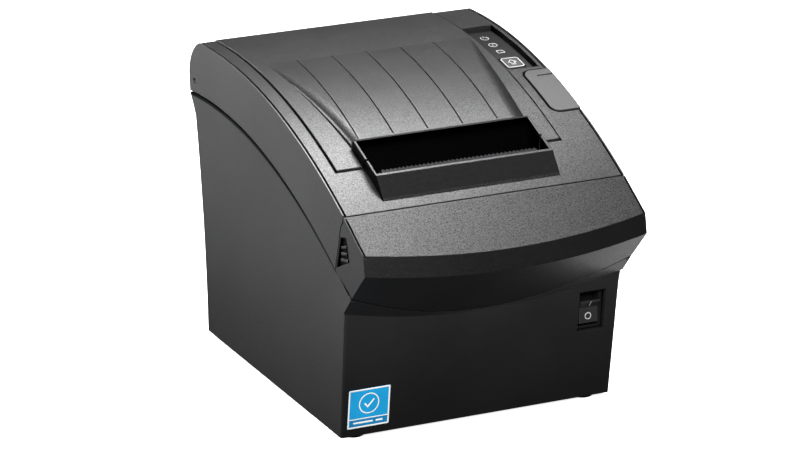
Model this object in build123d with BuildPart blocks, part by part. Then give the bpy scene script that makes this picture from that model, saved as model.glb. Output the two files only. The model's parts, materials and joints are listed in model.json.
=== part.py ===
from build123d import *
from math import atan2, cos, degrees, hypot, pi, radians, sin
import os

os.makedirs("parts", exist_ok=True)

# ---------------------------------------------------------------- driving dimensions (mm)
# Frame: +X right, +Y rear, +Z up. Origin on the table, at the centre of the footprint.
WIDTH = 145.0
DEPTH = 195.0
HEIGHT = 146.0
REAR = DEPTH / 2
NOSE = -DEPTH / 2
SIDE = WIDTH / 2
WALL = 2.4
SEAM = 0.8  # visible gap between two casings

# The roof and the lower seam are parabolas of y: crest height, crest place and bend.
COVER_LIFT = 0.5  # the roll cover stands this much proud of the fixed frame
ROOF_TOP = HEIGHT - COVER_LIFT
ROOF_CREST = 67.2
ROOF_BEND = 0.001937
SEAM_TOP = 119.7
SEAM_CREST = 69.5
SEAM_BEND = 0.00218

# Lower case, side view
BASE_Z = 2.4
FRONT_FOOT = -66.8
FRONT_SHOULDER = -70.1
SHOULDER_Z = 65.6
REAR_FOOT = 76.4
REAR_WAIST = (80.4, 48.4)
REAR_SHOULDER = (89.8, 108.0)
HALF_BOTTOM = 70.0
HALF_TOP = 72.3
TAPER_TOP_Z = 118.0

# Top openings
COVER_LEFT = -63.2
COVER_RIGHT = 51.4
COVER_FRONT = -42.2
BAY_LEFT = -64.4
BAY_RIGHT = 52.4
BAY_FRONT = -43.2
STRIP_FRONT = -67.3
PANEL_HALF = 71.5

# Cover hinge
HINGE_Y = 91.2
HINGE_Z = 124.7
HINGE_PIN_R = 1.4

# Paper pocket
POCKET_LEFT = -50.0
POCKET_RIGHT = 41.2
POCKET_WALL = 1.3
SPLIT_COVER = -43.7
SPLIT_FRAME = -44.7
RIM_REAR = (-31.7, 131.4)
RIM_FRONT = (-54.6, 122.5)

# Paper roll bin
ROLL_Y = 30.0
ROLL_Z = 88.0
BIN_R = 43.0
BIN_LEFT = -45.4
BIN_RIGHT = 36.6
BIN_WALL = 2.0

# Print mechanism
PLATEN_Y = -31.0
PLATEN_Z = 104.0
PLATEN_R = 6.5
SHAFT_R = 2.5
BEARING_R = 4.0
HEAD_TILT = 30.0  # the head faces the platen from below and in front
HEAD_GAP = 0.3
GEAR_LEFT = 44.0
GEAR_RIGHT = 48.0
PLATEN_TEETH = 16
IDLER_TEETH = 24
PINION_TEETH = 12
IDLER_DIRECTION = -70.0
PINION_DIRECTION = -120.0
RUNNING = 0.05  # radial clearance of a running fit

# Cover-open lever
LEVER_LEFT = 58.0
LEVER_FRONT = -24.5
LEVER_REAR = 7.5
LEVER_PIVOT = (4.5, 129.3)
LATCH_PIVOT = (-20.0, 94.0)

# Control panel
PANEL_FRONT = 10.5
PANEL_REAR = 58.3
PANEL_RIGHT = 69.0
PANEL_DEPTH = 3.0
BUTTON_X = 60.7
BUTTON_Y = 21.5
BUTTON_SIZE = 10.0
ICON_X = 60.8
ICON_PLACES = (49.9, 41.4, 33.7)

# Power switch
SWITCH_X = 57.2
SWITCH_Z = 46.3
SWITCH_WIDTH = 14.1
SWITCH_HEIGHT = 20.0
SWITCH_RECESS = 3.1


# ---------------------------------------------------------------- shape functions
def roof(y):
    return ROOF_TOP - ROOF_BEND * (y - ROOF_CREST) ** 2


def roof_slope(y):
    return -2 * ROOF_BEND * (y - ROOF_CREST)


def lower_seam(y):
    return SEAM_TOP - SEAM_BEND * (y - SEAM_CREST) ** 2


def half_width(z):
    """Half width of the tapered lower case at a height."""
    share = (z - BASE_Z) / (TAPER_TOP_Z - BASE_Z)
    return HALF_BOTTOM + (HALF_TOP - HALF_BOTTOM) * share


def front_face_y(z):
    """The flat front face leans forward a little towards its top."""
    return FRONT_FOOT + (FRONT_SHOULDER - FRONT_FOOT) * (z - BASE_Z) / (SHOULDER_Z - BASE_Z)


def bow(x, edge, centre):
    """Value of a shallow parabola across the width, from its edge and centre values."""
    return centre + (edge - centre) * (x / HALF_TOP) ** 2


def lip_top(x):
    return (bow(x, -87.8, -95.3), bow(x, 98.9, 94.9))


def lip_low(x):
    return (bow(x, -90.1, NOSE), bow(x, 89.5, 85.5))


def bevel_foot(x):
    """Where the bevel under the lip meets the front face."""
    z = bow(x, 65.4, 56.4)
    return (front_face_y(z), z)


def along_bevel(x, extra):
    """Point of the bevel on the seam under the front cover, moved up the bevel by extra mm."""
    foot = bevel_foot(x)
    lip = lip_low(x)
    run = hypot(lip[0] - foot[0], lip[1] - foot[1])
    share = bow(x, 0.365, 0.012) + extra / run
    return (foot[0] + share * (lip[0] - foot[0]), foot[1] + share * (lip[1] - foot[1]))


def bevel_inward(x, amount):
    """Step from the bevel face into the printer, square to the face."""
    foot = bevel_foot(x)
    lip = lip_low(x)
    run = hypot(lip[0] - foot[0], lip[1] - foot[1])
    return ((lip[1] - foot[1]) / run * amount, -(lip[0] - foot[0]) / run * amount)


def shift(point, step):
    return (point[0] + step[0], point[1] + step[1])


def parabola(height, start, stop, drop):
    """Exact parabola segment from y=start to y=stop, lowered by drop."""
    reach = (stop - start) / 2
    step = 0.01
    slope = (height(start + step) - height(start - step)) / (2 * step)
    first = (start, height(start) - drop)
    control = (start + reach, height(start) + slope * reach - drop)
    last = (stop, height(stop) - drop)
    return Bezier(first, control, last)


# ---------------------------------------------------------------- construction helpers
def block(x0, x1, y0, y1, z0, z1, mode=Mode.ADD):
    with Locations(((x0 + x1) / 2, (y0 + y1) / 2, (z0 + z1) / 2)):
        Box(x1 - x0, y1 - y0, z1 - z0, mode=mode)


def prism(x0, x1, points, mode=Mode.ADD):
    """Side-view polygon (y, z) extruded across the width from x0 to x1."""
    with BuildSketch(Plane.YZ.offset(x0)) as profile:
        with BuildLine():
            Polyline(*points, close=True)
        make_face()
    extrude(profile.sketch, amount=x1 - x0, mode=mode)


def rod(x0, x1, centre, radius, mode=Mode.ADD):
    """Cylinder along X."""
    with BuildSketch(Plane.YZ.offset(x0)) as profile:
        with Locations(centre):
            Circle(radius)
    extrude(profile.sketch, amount=x1 - x0, mode=mode)


def post(centre, radius, z0, z1, mode=Mode.ADD):
    """Cylinder along Z."""
    with BuildSketch(Plane.XY.offset(z0)) as profile:
        with Locations(centre):
            Circle(radius)
    extrude(profile.sketch, amount=z1 - z0, mode=mode)


def under_roof(x0, x1, y0, y1, top_drop, low_drop, mode=Mode.ADD):
    """Band between two lowered copies of the roof curve."""
    with BuildSketch(Plane.YZ.offset(x0)) as profile:
        with BuildLine():
            upper = parabola(roof, y0, y1, top_drop)
            lower = parabola(roof, y0, y1, low_drop)
            Line(upper @ 1, lower @ 1)
            Line(upper @ 0, lower @ 0)
        make_face()
    extrude(profile.sketch, amount=x1 - x0, mode=mode)


def roof_skin(x0, x1, front, lift, rear_low, mode=Mode.ADD):
    """Top skin that follows the roof and rolls over the rear edge."""
    with BuildSketch(Plane.YZ.offset(x0)) as profile:
        with BuildLine():
            outer = parabola(roof, front, 87.0, -lift)
            bend = ThreePointArc(outer @ 1, (94.6, 137.9), (REAR - 0.1, 127.0))
            foot = Line(bend @ 1, (96.4, rear_low))
            sill = Line(foot @ 1, (94.0, rear_low))
            inner_foot = Line(sill @ 1, (95.0, 127.0))
            inner = parabola(roof, front, 86.0, WALL - lift)
            ThreePointArc(inner @ 1, (92.7, 136.9), inner_foot @ 1)
            Line(outer @ 0, inner @ 0)
        make_face()
    extrude(profile.sketch, amount=x1 - x0, mode=mode)


def gear_outline(teeth, turn):
    """Straight-flanked gear of module 1 with some backlash, turned by an angle."""
    pitch_r = teeth / 2
    stations = ((pitch_r - 1.15, 0.98), (pitch_r, 0.68), (pitch_r + 0.85, 0.30))
    points = []
    for tooth in range(teeth):
        middle = radians(turn) + 2 * pi * tooth / teeth
        for radius, half in stations:
            points.append((radius * cos(middle - half / radius), radius * sin(middle - half / radius)))
        for radius, half in reversed(stations):
            points.append((radius * cos(middle + half / radius), radius * sin(middle + half / radius)))
    return points


def gear(x0, x1, centre, teeth, turn, bore):
    with BuildSketch(Plane.YZ.offset(x0)) as profile:
        with Locations(centre):
            Polygon(*gear_outline(teeth, turn), align=None)
            Circle(bore, mode=Mode.SUBTRACT)
    extrude(profile.sketch, amount=x1 - x0)


def polar(centre, distance, angle):
    return (centre[0] + distance * cos(radians(angle)), centre[1] + distance * sin(radians(angle)))


# ---------------------------------------------------------------- lower case
def case_volume(inset, floor_z):
    """Closed volume of the lower case, or of its hollow when inset by the wall."""
    with BuildPart() as volume:
        with BuildSketch(Plane.YZ.offset(-SIDE)):
            with BuildLine():
                top = parabola(lower_seam, -72.0 + inset, 96.0 - inset, SEAM / 2 - inset * 2)
                front = Line(top @ 0, (FRONT_SHOULDER + inset, SHOULDER_Z))
                foot = Line(front @ 1, (FRONT_FOOT + inset, floor_z))
                sole = Line(foot @ 1, (REAR_FOOT - inset, floor_z))
                waist = (REAR_WAIST[0] - inset, REAR_WAIST[1])
                shoulder = (REAR_SHOULDER[0] - inset, REAR_SHOULDER[1])
                back = ThreePointArc(sole @ 1, waist, shoulder)
                ledge = Line(back @ 1, (91.6 - inset, 111.2))
                Line(ledge @ 1, top @ 1)
            make_face()
        extrude(amount=WIDTH)
        with BuildSketch(Plane.XZ.offset(-REAR - 5)):
            with BuildLine():
                low = HALF_BOTTOM - inset
                high = half_width(HEIGHT) - inset
                Polyline((-low, BASE_Z), (low, BASE_Z), (high, HEIGHT), (-high, HEIGHT), close=True)
            make_face()
        extrude(amount=DEPTH + 10, mode=Mode.INTERSECT)
    return volume.part


BOW_STATIONS = (-HALF_TOP, -HALF_TOP / 2, 0.0, HALF_TOP / 2, HALF_TOP)
SWITCH_Y = front_face_y(SWITCH_Z)
CONNECTOR_LEFT = -56.0
CONNECTOR_RIGHT = 38.0
CONNECTOR_LOW = 13.0
CONNECTOR_HIGH = 41.0
CORNER_BOSSES = ((-63.6, -44.0), (63.6, -44.0), (-63.6, 52.0), (63.6, 52.0))

case_outside = case_volume(0.0, BASE_Z)
case_inside = case_volume(WALL, BASE_Z)

with BuildPart() as front_clearance:
    # everything ahead of the front wall and above the bevel seam
    for x in BOW_STATIONS:
        foot = bevel_foot(x)
        with BuildSketch(Plane.YZ.offset(x * 1.02)):
            with BuildLine():
                Polyline(
                    (foot[0] - 12, foot[1] + 0.2),
                    (foot[0] + 0.1, foot[1] + 0.2),
                    (foot[0] + WALL + 0.8, foot[1] + 2.6),
                    (foot[0] + WALL + 0.8, 95.0),
                    (foot[0] - 12, 95.0),
                    close=True,
                )
            make_face()
    loft()

with BuildPart() as bevel_strip:
    # strip of the bevel that belongs to the lower case, under the front cover
    for x in BOW_STATIONS:
        step = bevel_inward(x, 2.2)
        low = shift(bevel_foot(x), (0.0, -0.6))
        high = along_bevel(x, 0.0)
        with BuildSketch(Plane.YZ.offset(x)):
            with BuildLine():
                Polyline(low, high, shift(high, step), shift(low, step), close=True)
            make_face()
    loft()

with BuildPart() as lower_case:
    add(case_outside)
    upright = lower_case.edges().filter_by(lambda e: abs(e.tangent_at(0.5).Z) > 0.9)
    corners = upright.filter_by(lambda e: e.length > 40 and e.center().Y < -60)
    fillet(corners, radius=1.2)
    add(case_inside, mode=Mode.SUBTRACT)
    add(front_clearance.part, mode=Mode.SUBTRACT)
    add(bevel_strip.part)
    # cheeks that close the nose at both sides, up to the seam
    for x0 in (-HALF_TOP + 0.5, HALF_TOP - 0.5 - WALL):
        nose = along_bevel(HALF_TOP - WALL - 0.5, -0.1)
        foot = bevel_foot(HALF_TOP)
        cheek = (
            foot,
            nose,
            (-70.0, lower_seam(-70.0) - SEAM / 2),
            (-62.0, lower_seam(-62.0) - SEAM / 2),
            (-62.0, foot[1]),
        )
        prism(x0, x0 + WALL, cheek)
    # power switch opening in the front
    block(
        SWITCH_X - SWITCH_WIDTH / 2,
        SWITCH_X + SWITCH_WIDTH / 2,
        SWITCH_Y - 4,
        SWITCH_Y + 8,
        SWITCH_Z - SWITCH_HEIGHT / 2,
        SWITCH_Z + SWITCH_HEIGHT / 2,
        mode=Mode.SUBTRACT,
    )
    # connector bay opening in the rear
    block(CONNECTOR_LEFT, CONNECTOR_RIGHT, 66, 90, CONNECTOR_LOW, CONNECTOR_HIGH, mode=Mode.SUBTRACT)
    # trough that clears the rear edge of the roll cover as it swings
    rod(COVER_LEFT - 0.6, COVER_RIGHT + 0.6, (HINGE_Y, HINGE_Z), 8.15, mode=Mode.SUBTRACT)
    # screw bosses in the four corners, webbed to the side walls
    for x, y in CORNER_BOSSES:
        post((x, y), 3.4, 5.0, 22.0)
        wall_x = 68.4 if x > 0 else -68.4
        block(min(x, wall_x), max(x, wall_x), y - 1, y + 1, 5.0, 22.0)
        post((x, y), 1.35, 4.0, 16.0, mode=Mode.SUBTRACT)
lower_case.part.label = "lower_case"
export_step(lower_case.part, "parts/lower_case.step")

# ---------------------------------------------------------------- base
FEET = ((-60.0, -58.3), (60.0, -58.3), (-60.0, 64.0), (60.0, 64.0))
PLATE_LOW = 2.6
PLATE_HIGH = 4.6

with BuildPart() as base_plate:
    block(-67.2, 67.2, -64.0, 73.6, PLATE_LOW, PLATE_HIGH)
    for x, y in CORNER_BOSSES:
        post((x, y), 1.7, 0.0, 6.0, mode=Mode.SUBTRACT)
    for y in range(-20, 41, 10):
        # ventilation slots
        block(-12, 12, y - 1.5, y + 1.5, 0, 6, mode=Mode.SUBTRACT)
base_plate.part.label = "base_plate"
export_step(base_plate.part, "parts/base_plate.step")

with BuildPart() as rubber_feet:
    for x, y in FEET:
        post((x, y), 5.5, 0.0, PLATE_LOW)
    soles = rubber_feet.edges().filter_by(GeomType.CIRCLE).group_by(Axis.Z)[0]
    chamfer(soles, length=0.3)
rubber_feet.part.label = "rubber_feet"
export_step(rubber_feet.part, "parts/rubber_feet.step")

with BuildPart() as base_screws:
    for x, y in CORNER_BOSSES:
        post((x, y), 2.8, PLATE_LOW - 1.5, PLATE_LOW)
        post((x, y), 1.3, PLATE_LOW, 14.0)
        block(x - 1.6, x + 1.6, y - 0.3, y + 0.3, 0.5, 1.7, mode=Mode.SUBTRACT)
        block(x - 0.3, x + 0.3, y - 1.6, y + 1.6, 0.5, 1.7, mode=Mode.SUBTRACT)
base_screws.part.label = "base_screws"
export_step(base_screws.part, "parts/base_screws.step")

# ---------------------------------------------------------------- upper case
SIDE_SEAM = ((-66.9, 107.8), (-65.0, 105.2), (-64.0, 99.6), (-60.8, lower_seam(-60.8) + SEAM / 2))
RABBET = WALL + 0.2

with BuildPart() as upper_case:
    for x0 in (-HALF_TOP, HALF_TOP - WALL):
        with BuildSketch(Plane.YZ.offset(x0)):
            with BuildLine():
                top = parabola(roof, -66.9, 87.0, 0.0)
                front = Polyline(top @ 0, *SIDE_SEAM)
                low = parabola(lower_seam, -60.8, 96.2, -SEAM / 2)
                heel = Line(low @ 1, (REAR - 0.1, 127.0))
                ThreePointArc(heel @ 1, (94.6, 137.9), top @ 1)
            make_face()
        extrude(amount=WALL)
    # rabbet that the top frame lies in
    block(-PANEL_HALF - 0.1, PANEL_HALF + 0.1, 85.8, REAR + 2, 118.7, 150, mode=Mode.SUBTRACT)
    under_roof(-PANEL_HALF - 0.1, PANEL_HALF + 0.1, -70.0, 86.0, -3.0, RABBET, mode=Mode.SUBTRACT)
    # front and rear cross walls
    block(-70.2, 70.2, -63.2, -61.2, 95.0, 107.0)
    block(-69.2, 69.2, 80.5, 82.5, 100.0, 111.5)
    for x0, x1 in ((-69.2, -65.0), (52.9, 69.2)):
        block(x0, x1, 80.5, 82.5, 100.0, 134.0)
    for x0, x1 in ((-70.2, -69.0), (69.0, 70.2)):
        block(x0, x1, 80.5, 82.5, 120.4, 134.0)
    # hinge brackets
    bracket = ((80.5, 108), (82.5, 111.5), (93.4, 120.0), (93.4, 128.0), (88.0, 134.0), (80.5, 134.0))
    for x0, x1 in ((-69.2, -65.0), (52.9, 55.3)):
        prism(x0, x1, bracket)
    rod(-SIDE, -60.0, (HINGE_Y, HINGE_Z), HINGE_PIN_R + RUNNING, mode=Mode.SUBTRACT)
    rod(50.0, 57.0, (HINGE_Y, HINGE_Z), HINGE_PIN_R + RUNNING, mode=Mode.SUBTRACT)
    # notch for the skirt of the open lever, deeper in front where the skirt swings down
    notch = (
        (LEVER_REAR + 0.8, 150.0),
        (LEVER_REAR + 0.8, roof(LEVER_REAR) - 5.9),
        (-8.0, roof(-8.0) - 7.2),
        (LEVER_FRONT - 0.8, roof(LEVER_FRONT) - 9.2),
        (LEVER_FRONT - 0.8, 150.0),
    )
    prism(69.0, 74.0, notch, mode=Mode.SUBTRACT)
    # tab that holds the right end of the lever pin
    prism(68.4, 70.0, ((0.5, 122.0), (8.5, 122.0), (8.5, 131.6), (0.5, 131.6)))
    rod(68.0, 70.3, LEVER_PIVOT, 1.5 + RUNNING, mode=Mode.SUBTRACT)
    # seat of the latch pin, hung from the right side above the seam
    prism(66.5, 69.2, ((-25.0, 90.0), (-15.0, 90.0), (-14.0, 108.0), (-26.0, 108.0)))
    block(68.8, 70.2, -25.0, -15.0, 104.8, 108.0)
    rod(66.0, 69.4, LATCH_PIVOT, 2.0 + RUNNING, mode=Mode.SUBTRACT)
upper_case.part.label = "upper_case"
export_step(upper_case.part, "parts/upper_case.step")

with BuildPart() as hinge_pins:
    rod(-71.6, -60.0, (HINGE_Y, HINGE_Z), HINGE_PIN_R)
    rod(48.0, 56.0, (HINGE_Y, HINGE_Z), HINGE_PIN_R)
hinge_pins.part.label = "hinge_pins"
export_step(hinge_pins.part, "parts/hinge_pins.step")

# ---------------------------------------------------------------- top frame
rim_slope = (RIM_REAR[1] - RIM_FRONT[1]) / (RIM_REAR[0] - RIM_FRONT[0])


def rim(y):
    """Height of the pocket's rim."""
    return RIM_FRONT[1] + rim_slope * (y - RIM_FRONT[0])


COLLAR_FOOT = -62.6
button_slope = degrees(atan2(roof_slope(BUTTON_Y), 1.0))
button_floor_z = roof(BUTTON_Y) - PANEL_DEPTH
button_plane = Plane(
    origin=(BUTTON_X, BUTTON_Y, button_floor_z),
    x_dir=(1, 0, 0),
    z_dir=(0, -sin(radians(button_slope)), cos(radians(button_slope))),
)


def icon_plane(y):
    return Plane(
        origin=(ICON_X, y, roof(y) - PANEL_DEPTH),
        x_dir=(1, 0, 0),
        z_dir=Vector(0, -roof_slope(y), 1).normalized(),
    )


with BuildPart() as top_frame:
    roof_skin(0.9 - PANEL_HALF, PANEL_HALF - 0.9, STRIP_FRONT, 0.0, 118.9)
    block(BAY_LEFT, BAY_RIGHT, BAY_FRONT, REAR + 5, 100, 160, mode=Mode.SUBTRACT)
    # front half of the paper pocket
    collar = (
        (COLLAR_FOOT, 110.8),
        (COLLAR_FOOT, roof(COLLAR_FOOT)),
        RIM_FRONT,
        (SPLIT_FRAME, rim(SPLIT_FRAME)),
        (SPLIT_FRAME, 116.6),
        (-53.0, 110.8),
    )
    prism(POCKET_LEFT, POCKET_RIGHT, collar)
    throat = (
        (RIM_FRONT[0] + POCKET_WALL, 140.0),
        (RIM_FRONT[0] + POCKET_WALL, 118.4),
        (-52.2, 117.2),
        (-52.2, 105.0),
        (-40.0, 105.0),
        (-40.0, 140.0),
    )
    prism(POCKET_LEFT + POCKET_WALL, POCKET_RIGHT - POCKET_WALL, throat, mode=Mode.SUBTRACT)
    # hollow behind the sloping front of the pocket
    back_hollow = ((-60.6, 105.0), (-60.6, 112.6), (-58.6, 115.0), (-40.0, 115.0), (-40.0, 105.0))
    prism(POCKET_LEFT + 2, POCKET_RIGHT - 2, back_hollow, mode=Mode.SUBTRACT)
    block(POCKET_LEFT - 0.6, POCKET_RIGHT + 0.6, SPLIT_FRAME, -40.0, 100, 140, mode=Mode.SUBTRACT)
    # control panel recess in the right band
    under_roof(BAY_RIGHT, PANEL_RIGHT + 0.7, PANEL_FRONT - 1.2, PANEL_REAR + 1.6, 0.5, PANEL_DEPTH + 2.0)
    under_roof(BAY_RIGHT - 1, PANEL_RIGHT, PANEL_FRONT, PANEL_REAR, -2.0, PANEL_DEPTH, mode=Mode.SUBTRACT)
    with BuildSketch(button_plane.offset(-6)):
        RectangleRounded(BUTTON_SIZE + 0.7, BUTTON_SIZE + 0.7, 1.9)
    extrude(amount=12, mode=Mode.SUBTRACT)
    for y in ICON_PLACES:
        with BuildSketch(icon_plane(y).offset(-6)):
            Circle(2.3)
        extrude(amount=12, mode=Mode.SUBTRACT)
    # window of the open lever, with an ear for its pin
    with BuildSketch(Plane.XY.offset(100)):
        with Locations(((LEVER_LEFT - 1.1 + 80) / 2, (LEVER_FRONT + LEVER_REAR) / 2)):
            RectangleRounded(80 - LEVER_LEFT + 1.1, LEVER_REAR - LEVER_FRONT + 2.0, 5.3)
    extrude(amount=60, mode=Mode.SUBTRACT)
    prism(54.6, 56.6, ((0.5, 126.0), (8.5, 126.0), (8.5, roof(8.5) - 1), (0.5, roof(0.5) - 1)))
    rod(54.0, 57.0, LEVER_PIVOT, 1.5 + RUNNING, mode=Mode.SUBTRACT)
top_frame.part.label = "top_frame"
export_step(top_frame.part, "parts/top_frame.step")

# ---------------------------------------------------------------- front cover
with BuildPart() as cover_hollow:
    for x in BOW_STATIONS:
        lip = lip_top(x)
        chin = lip_low(x)
        step = bevel_inward(x, 2.3)
        sill = shift(along_bevel(x, -8.0), step)
        with BuildSketch(Plane.YZ.offset(x * 70.1 / HALF_TOP)):
            with BuildLine():
                Polyline(
                    (-50.0, roof(-67.8) - WALL),
                    (-67.8, roof(-67.8) - WALL),
                    (lip[0] + 2.4, lip[1] - 1.2),
                    shift(shift(chin, step), (0.6, 0.9)),
                    sill,
                    (-50.0, sill[1]),
                    close=True,
                )
            make_face()
    loft()

with BuildPart() as front_cover:
    for x in BOW_STATIONS:
        with BuildSketch(Plane.YZ.offset(x)):
            with BuildLine():
                Polyline(
                    (-67.9, roof(-67.9)),
                    lip_top(x),
                    lip_low(x),
                    along_bevel(x, SEAM),
                    shift(along_bevel(x, SEAM), bevel_inward(x, 2.7)),
                    (-61.4, lower_seam(-61.4) + SEAM / 2),
                    (-64.6, 99.6),
                    (-65.6, 105.0),
                    (-67.9, 107.4),
                    close=True,
                )
            make_face()
    loft()
    add(cover_hollow.part, mode=Mode.SUBTRACT)
    # shadow groove along both side edges of the top
    top_end = lip_top(HALF_TOP)
    groove = (
        (-68.7, roof(-68.7) + 3.0),
        (-68.7, roof(-68.7) - 1.4),
        (top_end[0] - 0.4, top_end[1] - 1.5),
        (top_end[0] - 3.0, top_end[1] + 3.0),
    )
    for x0 in (-HALF_TOP + 0.4, HALF_TOP - 1.2):
        prism(x0, x0 + 0.8, groove, mode=Mode.SUBTRACT)
    # three-step finger grip sunk in both side walls
    grip = ((-65.2, 99.9), (-71.2, 101.6), (-75.0, 91.2), (-62.2, 84.2))
    for x0 in (-HALF_TOP - 1, HALF_TOP - 1.2):
        prism(x0, x0 + 2.2, grip, mode=Mode.SUBTRACT)
    for x0 in (-HALF_TOP + 0.4, HALF_TOP - 1.3):
        for z, reach in ((94.6, -70.4), (91.6, -71.4), (88.6, -72.4)):
            prism(x0, x0 + 0.9, ((-65.6, z), (reach, z + 1.6), (reach, z + 2.8), (-65.6, z + 1.2)))
front_cover.part.label = "front_cover"
export_step(front_cover.part, "parts/front_cover.step")

# ---------------------------------------------------------------- roll cover
HUMP = (
    # y, height, left crease, left edge, right edge, right crease
    (50.0, -0.3, -58.0, -57.2, 50.6, 51.2),
    (10.0, 2.1, -53.6, -49.8, 40.6, 45.2),
    (-30.5, 4.0, -49.9, -45.6, 34.8, 41.1),
)
GROOVE_TOPS = (-41.0, -23.0, -5.2, 12.8, 30.8)
GROOVE_SHIFT = -5.4
GROOVE_DEPTH = 0.6


def cover_top(y):
    return roof(y) + COVER_LIFT


with BuildPart() as roll_cover:
    roof_skin(COVER_LEFT, COVER_RIGHT, COVER_FRONT, COVER_LIFT, 119.2)
    # side flanges
    for x0 in (COVER_LEFT, COVER_RIGHT - 2.0):
        under_roof(x0, x0 + 2.0, COVER_FRONT + 1.0, 84.0, 1.0, 9.0)
    with BuildPart(mode=Mode.PRIVATE) as hump:
        for y, rise, left_low, left_high, right_high, right_low in HUMP:
            z = cover_top(y)
            with BuildSketch(Plane.XZ.offset(-y)):
                with BuildLine():
                    # both sides roll off from the flat top down to a crease
                    swell = Bezier(
                        (left_low, z),
                        (left_low + 0.7, z + rise),
                        (left_high + 1.2, z + rise),
                    )
                    fall = Bezier(
                        (right_high - 2.2, z + rise),
                        (right_high + (right_low - right_high) * 0.45, z + rise),
                        (right_low, z),
                    )
                    Line(swell @ 1, fall @ 0)
                    Polyline(
                        fall @ 1,
                        (right_low, z - 1.6),
                        (left_low, z - 1.6),
                        swell @ 0,
                    )
                make_face()
        loft()
    add(hump.part)
    # rear half of the paper pocket
    pocket_block = (
        (-29.6, cover_top(-29.6) - 1.0),
        (-30.2, RIM_REAR[1]),
        (RIM_REAR[0], RIM_REAR[1]),
        (SPLIT_COVER, rim(SPLIT_COVER)),
        (SPLIT_COVER, 116.4),
        (-41.5, 115.4),
        (-29.6, cover_top(-29.6) - 4.0),
    )
    prism(POCKET_LEFT, POCKET_RIGHT, pocket_block)
    pocket_void = (
        (-46.0, 140.0),
        (-46.0, 117.4),
        (-43.0, 117.4),
        (RIM_REAR[0], 129.0),
        (RIM_REAR[0], 140.0),
    )
    prism(POCKET_LEFT + POCKET_WALL, POCKET_RIGHT - POCKET_WALL, pocket_void, mode=Mode.SUBTRACT)
    # shallow grooves that fan down the hump
    for x in GROOVE_TOPS:
        start = Vector(x, 46.0, 0)
        stop = Vector(x + GROOVE_SHIFT, -29.4, 0)
        run = (stop - start).length
        groove_plane = Plane(origin=start, x_dir=(stop - start).normalized(), z_dir=(stop - start).cross(Vector(0, 0, 1)))
        with BuildSketch(groove_plane):
            with BuildLine():
                depth = Spline(
                    (0, cover_top(46.0) - 0.45),
                    (run / 2, cover_top(8.3) + 2.2 - GROOVE_DEPTH),
                    (run, cover_top(-29.4) + 3.9 - GROOVE_DEPTH),
                )
                Polyline(depth @ 1, (run, 140.0), (run / 2, 152.0), (0, 152.0), depth @ 0)
            make_face()
        extrude(amount=0.3, both=True, mode=Mode.SUBTRACT)
    # fine line along the left crease of the hump
    crease_start = Vector(-54.4, 17.0, 0)
    crease_stop = Vector(-49.9, -30.0, 0)
    crease = crease_stop - crease_start
    crease_plane = Plane(origin=crease_start, x_dir=crease.normalized(), z_dir=crease.cross(Vector(0, 0, 1)))
    with BuildSketch(crease_plane):
        with BuildLine():
            low = Spline(
                (0, cover_top(17.0) - 0.05),
                (crease.length / 2, cover_top(-6.5) - 0.45),
                (crease.length, cover_top(-30.0) - 0.5),
            )
            Polyline(low @ 1, (crease.length, 140.0), (0, 150.0), low @ 0)
        make_face()
    extrude(amount=0.28, both=True, mode=Mode.SUBTRACT)
    # hinge ears
    for x0 in (COVER_LEFT + 0.4, COVER_RIGHT - 2.8):
        rod(x0, x0 + 2.4, (HINGE_Y, HINGE_Z), 3.4)
        prism(x0, x0 + 2.4, ((88.0, 124.7), (94.4, 124.7), (93.0, 137.0), (86.0, 143.2)))
        rod(x0 - 1, x0 + 4, (HINGE_Y, HINGE_Z), HINGE_PIN_R + RUNNING, mode=Mode.SUBTRACT)
roll_cover.part.label = "roll_cover"
export_step(roll_cover.part, "parts/roll_cover.step")

# ---------------------------------------------------------------- cover-open lever
lever_middle = (LEVER_FRONT + LEVER_REAR) / 2
lever_length = LEVER_REAR - LEVER_FRONT

with BuildPart() as open_lever:
    under_roof(LEVER_LEFT, HALF_TOP, LEVER_FRONT, LEVER_REAR, -0.3, 2.2)
    with BuildSketch(Plane.XY.offset(100)):
        with Locations(((LEVER_LEFT + 80) / 2, lever_middle)):
            RectangleRounded(80 - LEVER_LEFT, lever_length, 4.3)
    extrude(amount=60, mode=Mode.INTERSECT)
    under_roof(70.2, HALF_TOP, LEVER_FRONT, LEVER_REAR, 1.8, 5.2)
    # cross line near the pivot end
    block(63.6, 73.0, 2.2, 2.9, roof(2.5) - 0.2, 145, mode=Mode.SUBTRACT)
    for x0 in (60.0, 66.0):
        rod(x0, x0 + 1.6, LEVER_PIVOT, 3.2)
        prism(x0, x0 + 1.6, ((1.4, 129.3), (7.3, 129.3), (7.3, 136.6), (0.5, 135.0)))
        rod(x0 - 1, x0 + 3, LEVER_PIVOT, 1.5 + RUNNING, mode=Mode.SUBTRACT)
    prism(63.0, 65.0, ((-10.0, 132.6), (-6.0, 133.6), (-7.0, 122.4), (-9.0, 122.4)))
open_lever.part.label = "open_lever"
export_step(open_lever.part, "parts/open_lever.step")

with BuildPart() as lever_pin:
    rod(54.8, 69.6, LEVER_PIVOT, 1.5)
lever_pin.part.label = "lever_pin"
export_step(lever_pin.part, "parts/lever_pin.step")

with BuildPart() as cover_latch:
    rod(49.2, 65.6, LATCH_PIVOT, 3.6)
    hook = (
        (-23.2, 92.6),
        (-17.0, 93.0),
        (-20.4, 104.0),
        (-24.6, 110.4),
        (-27.6, 110.4),
        (-27.2, 104.0),
        (-24.6, 99.0),
    )
    prism(49.2, 50.8, hook)
    prism(62.0, 65.6, ((-22.4, 95.0), (-17.6, 95.0), (-5.8, 119.4), (-9.4, 121.4)))
    rod(49.0, 66.0, LATCH_PIVOT, 2.0 + RUNNING, mode=Mode.SUBTRACT)
cover_latch.part.label = "cover_latch"
export_step(cover_latch.part, "parts/cover_latch.step")

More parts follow.
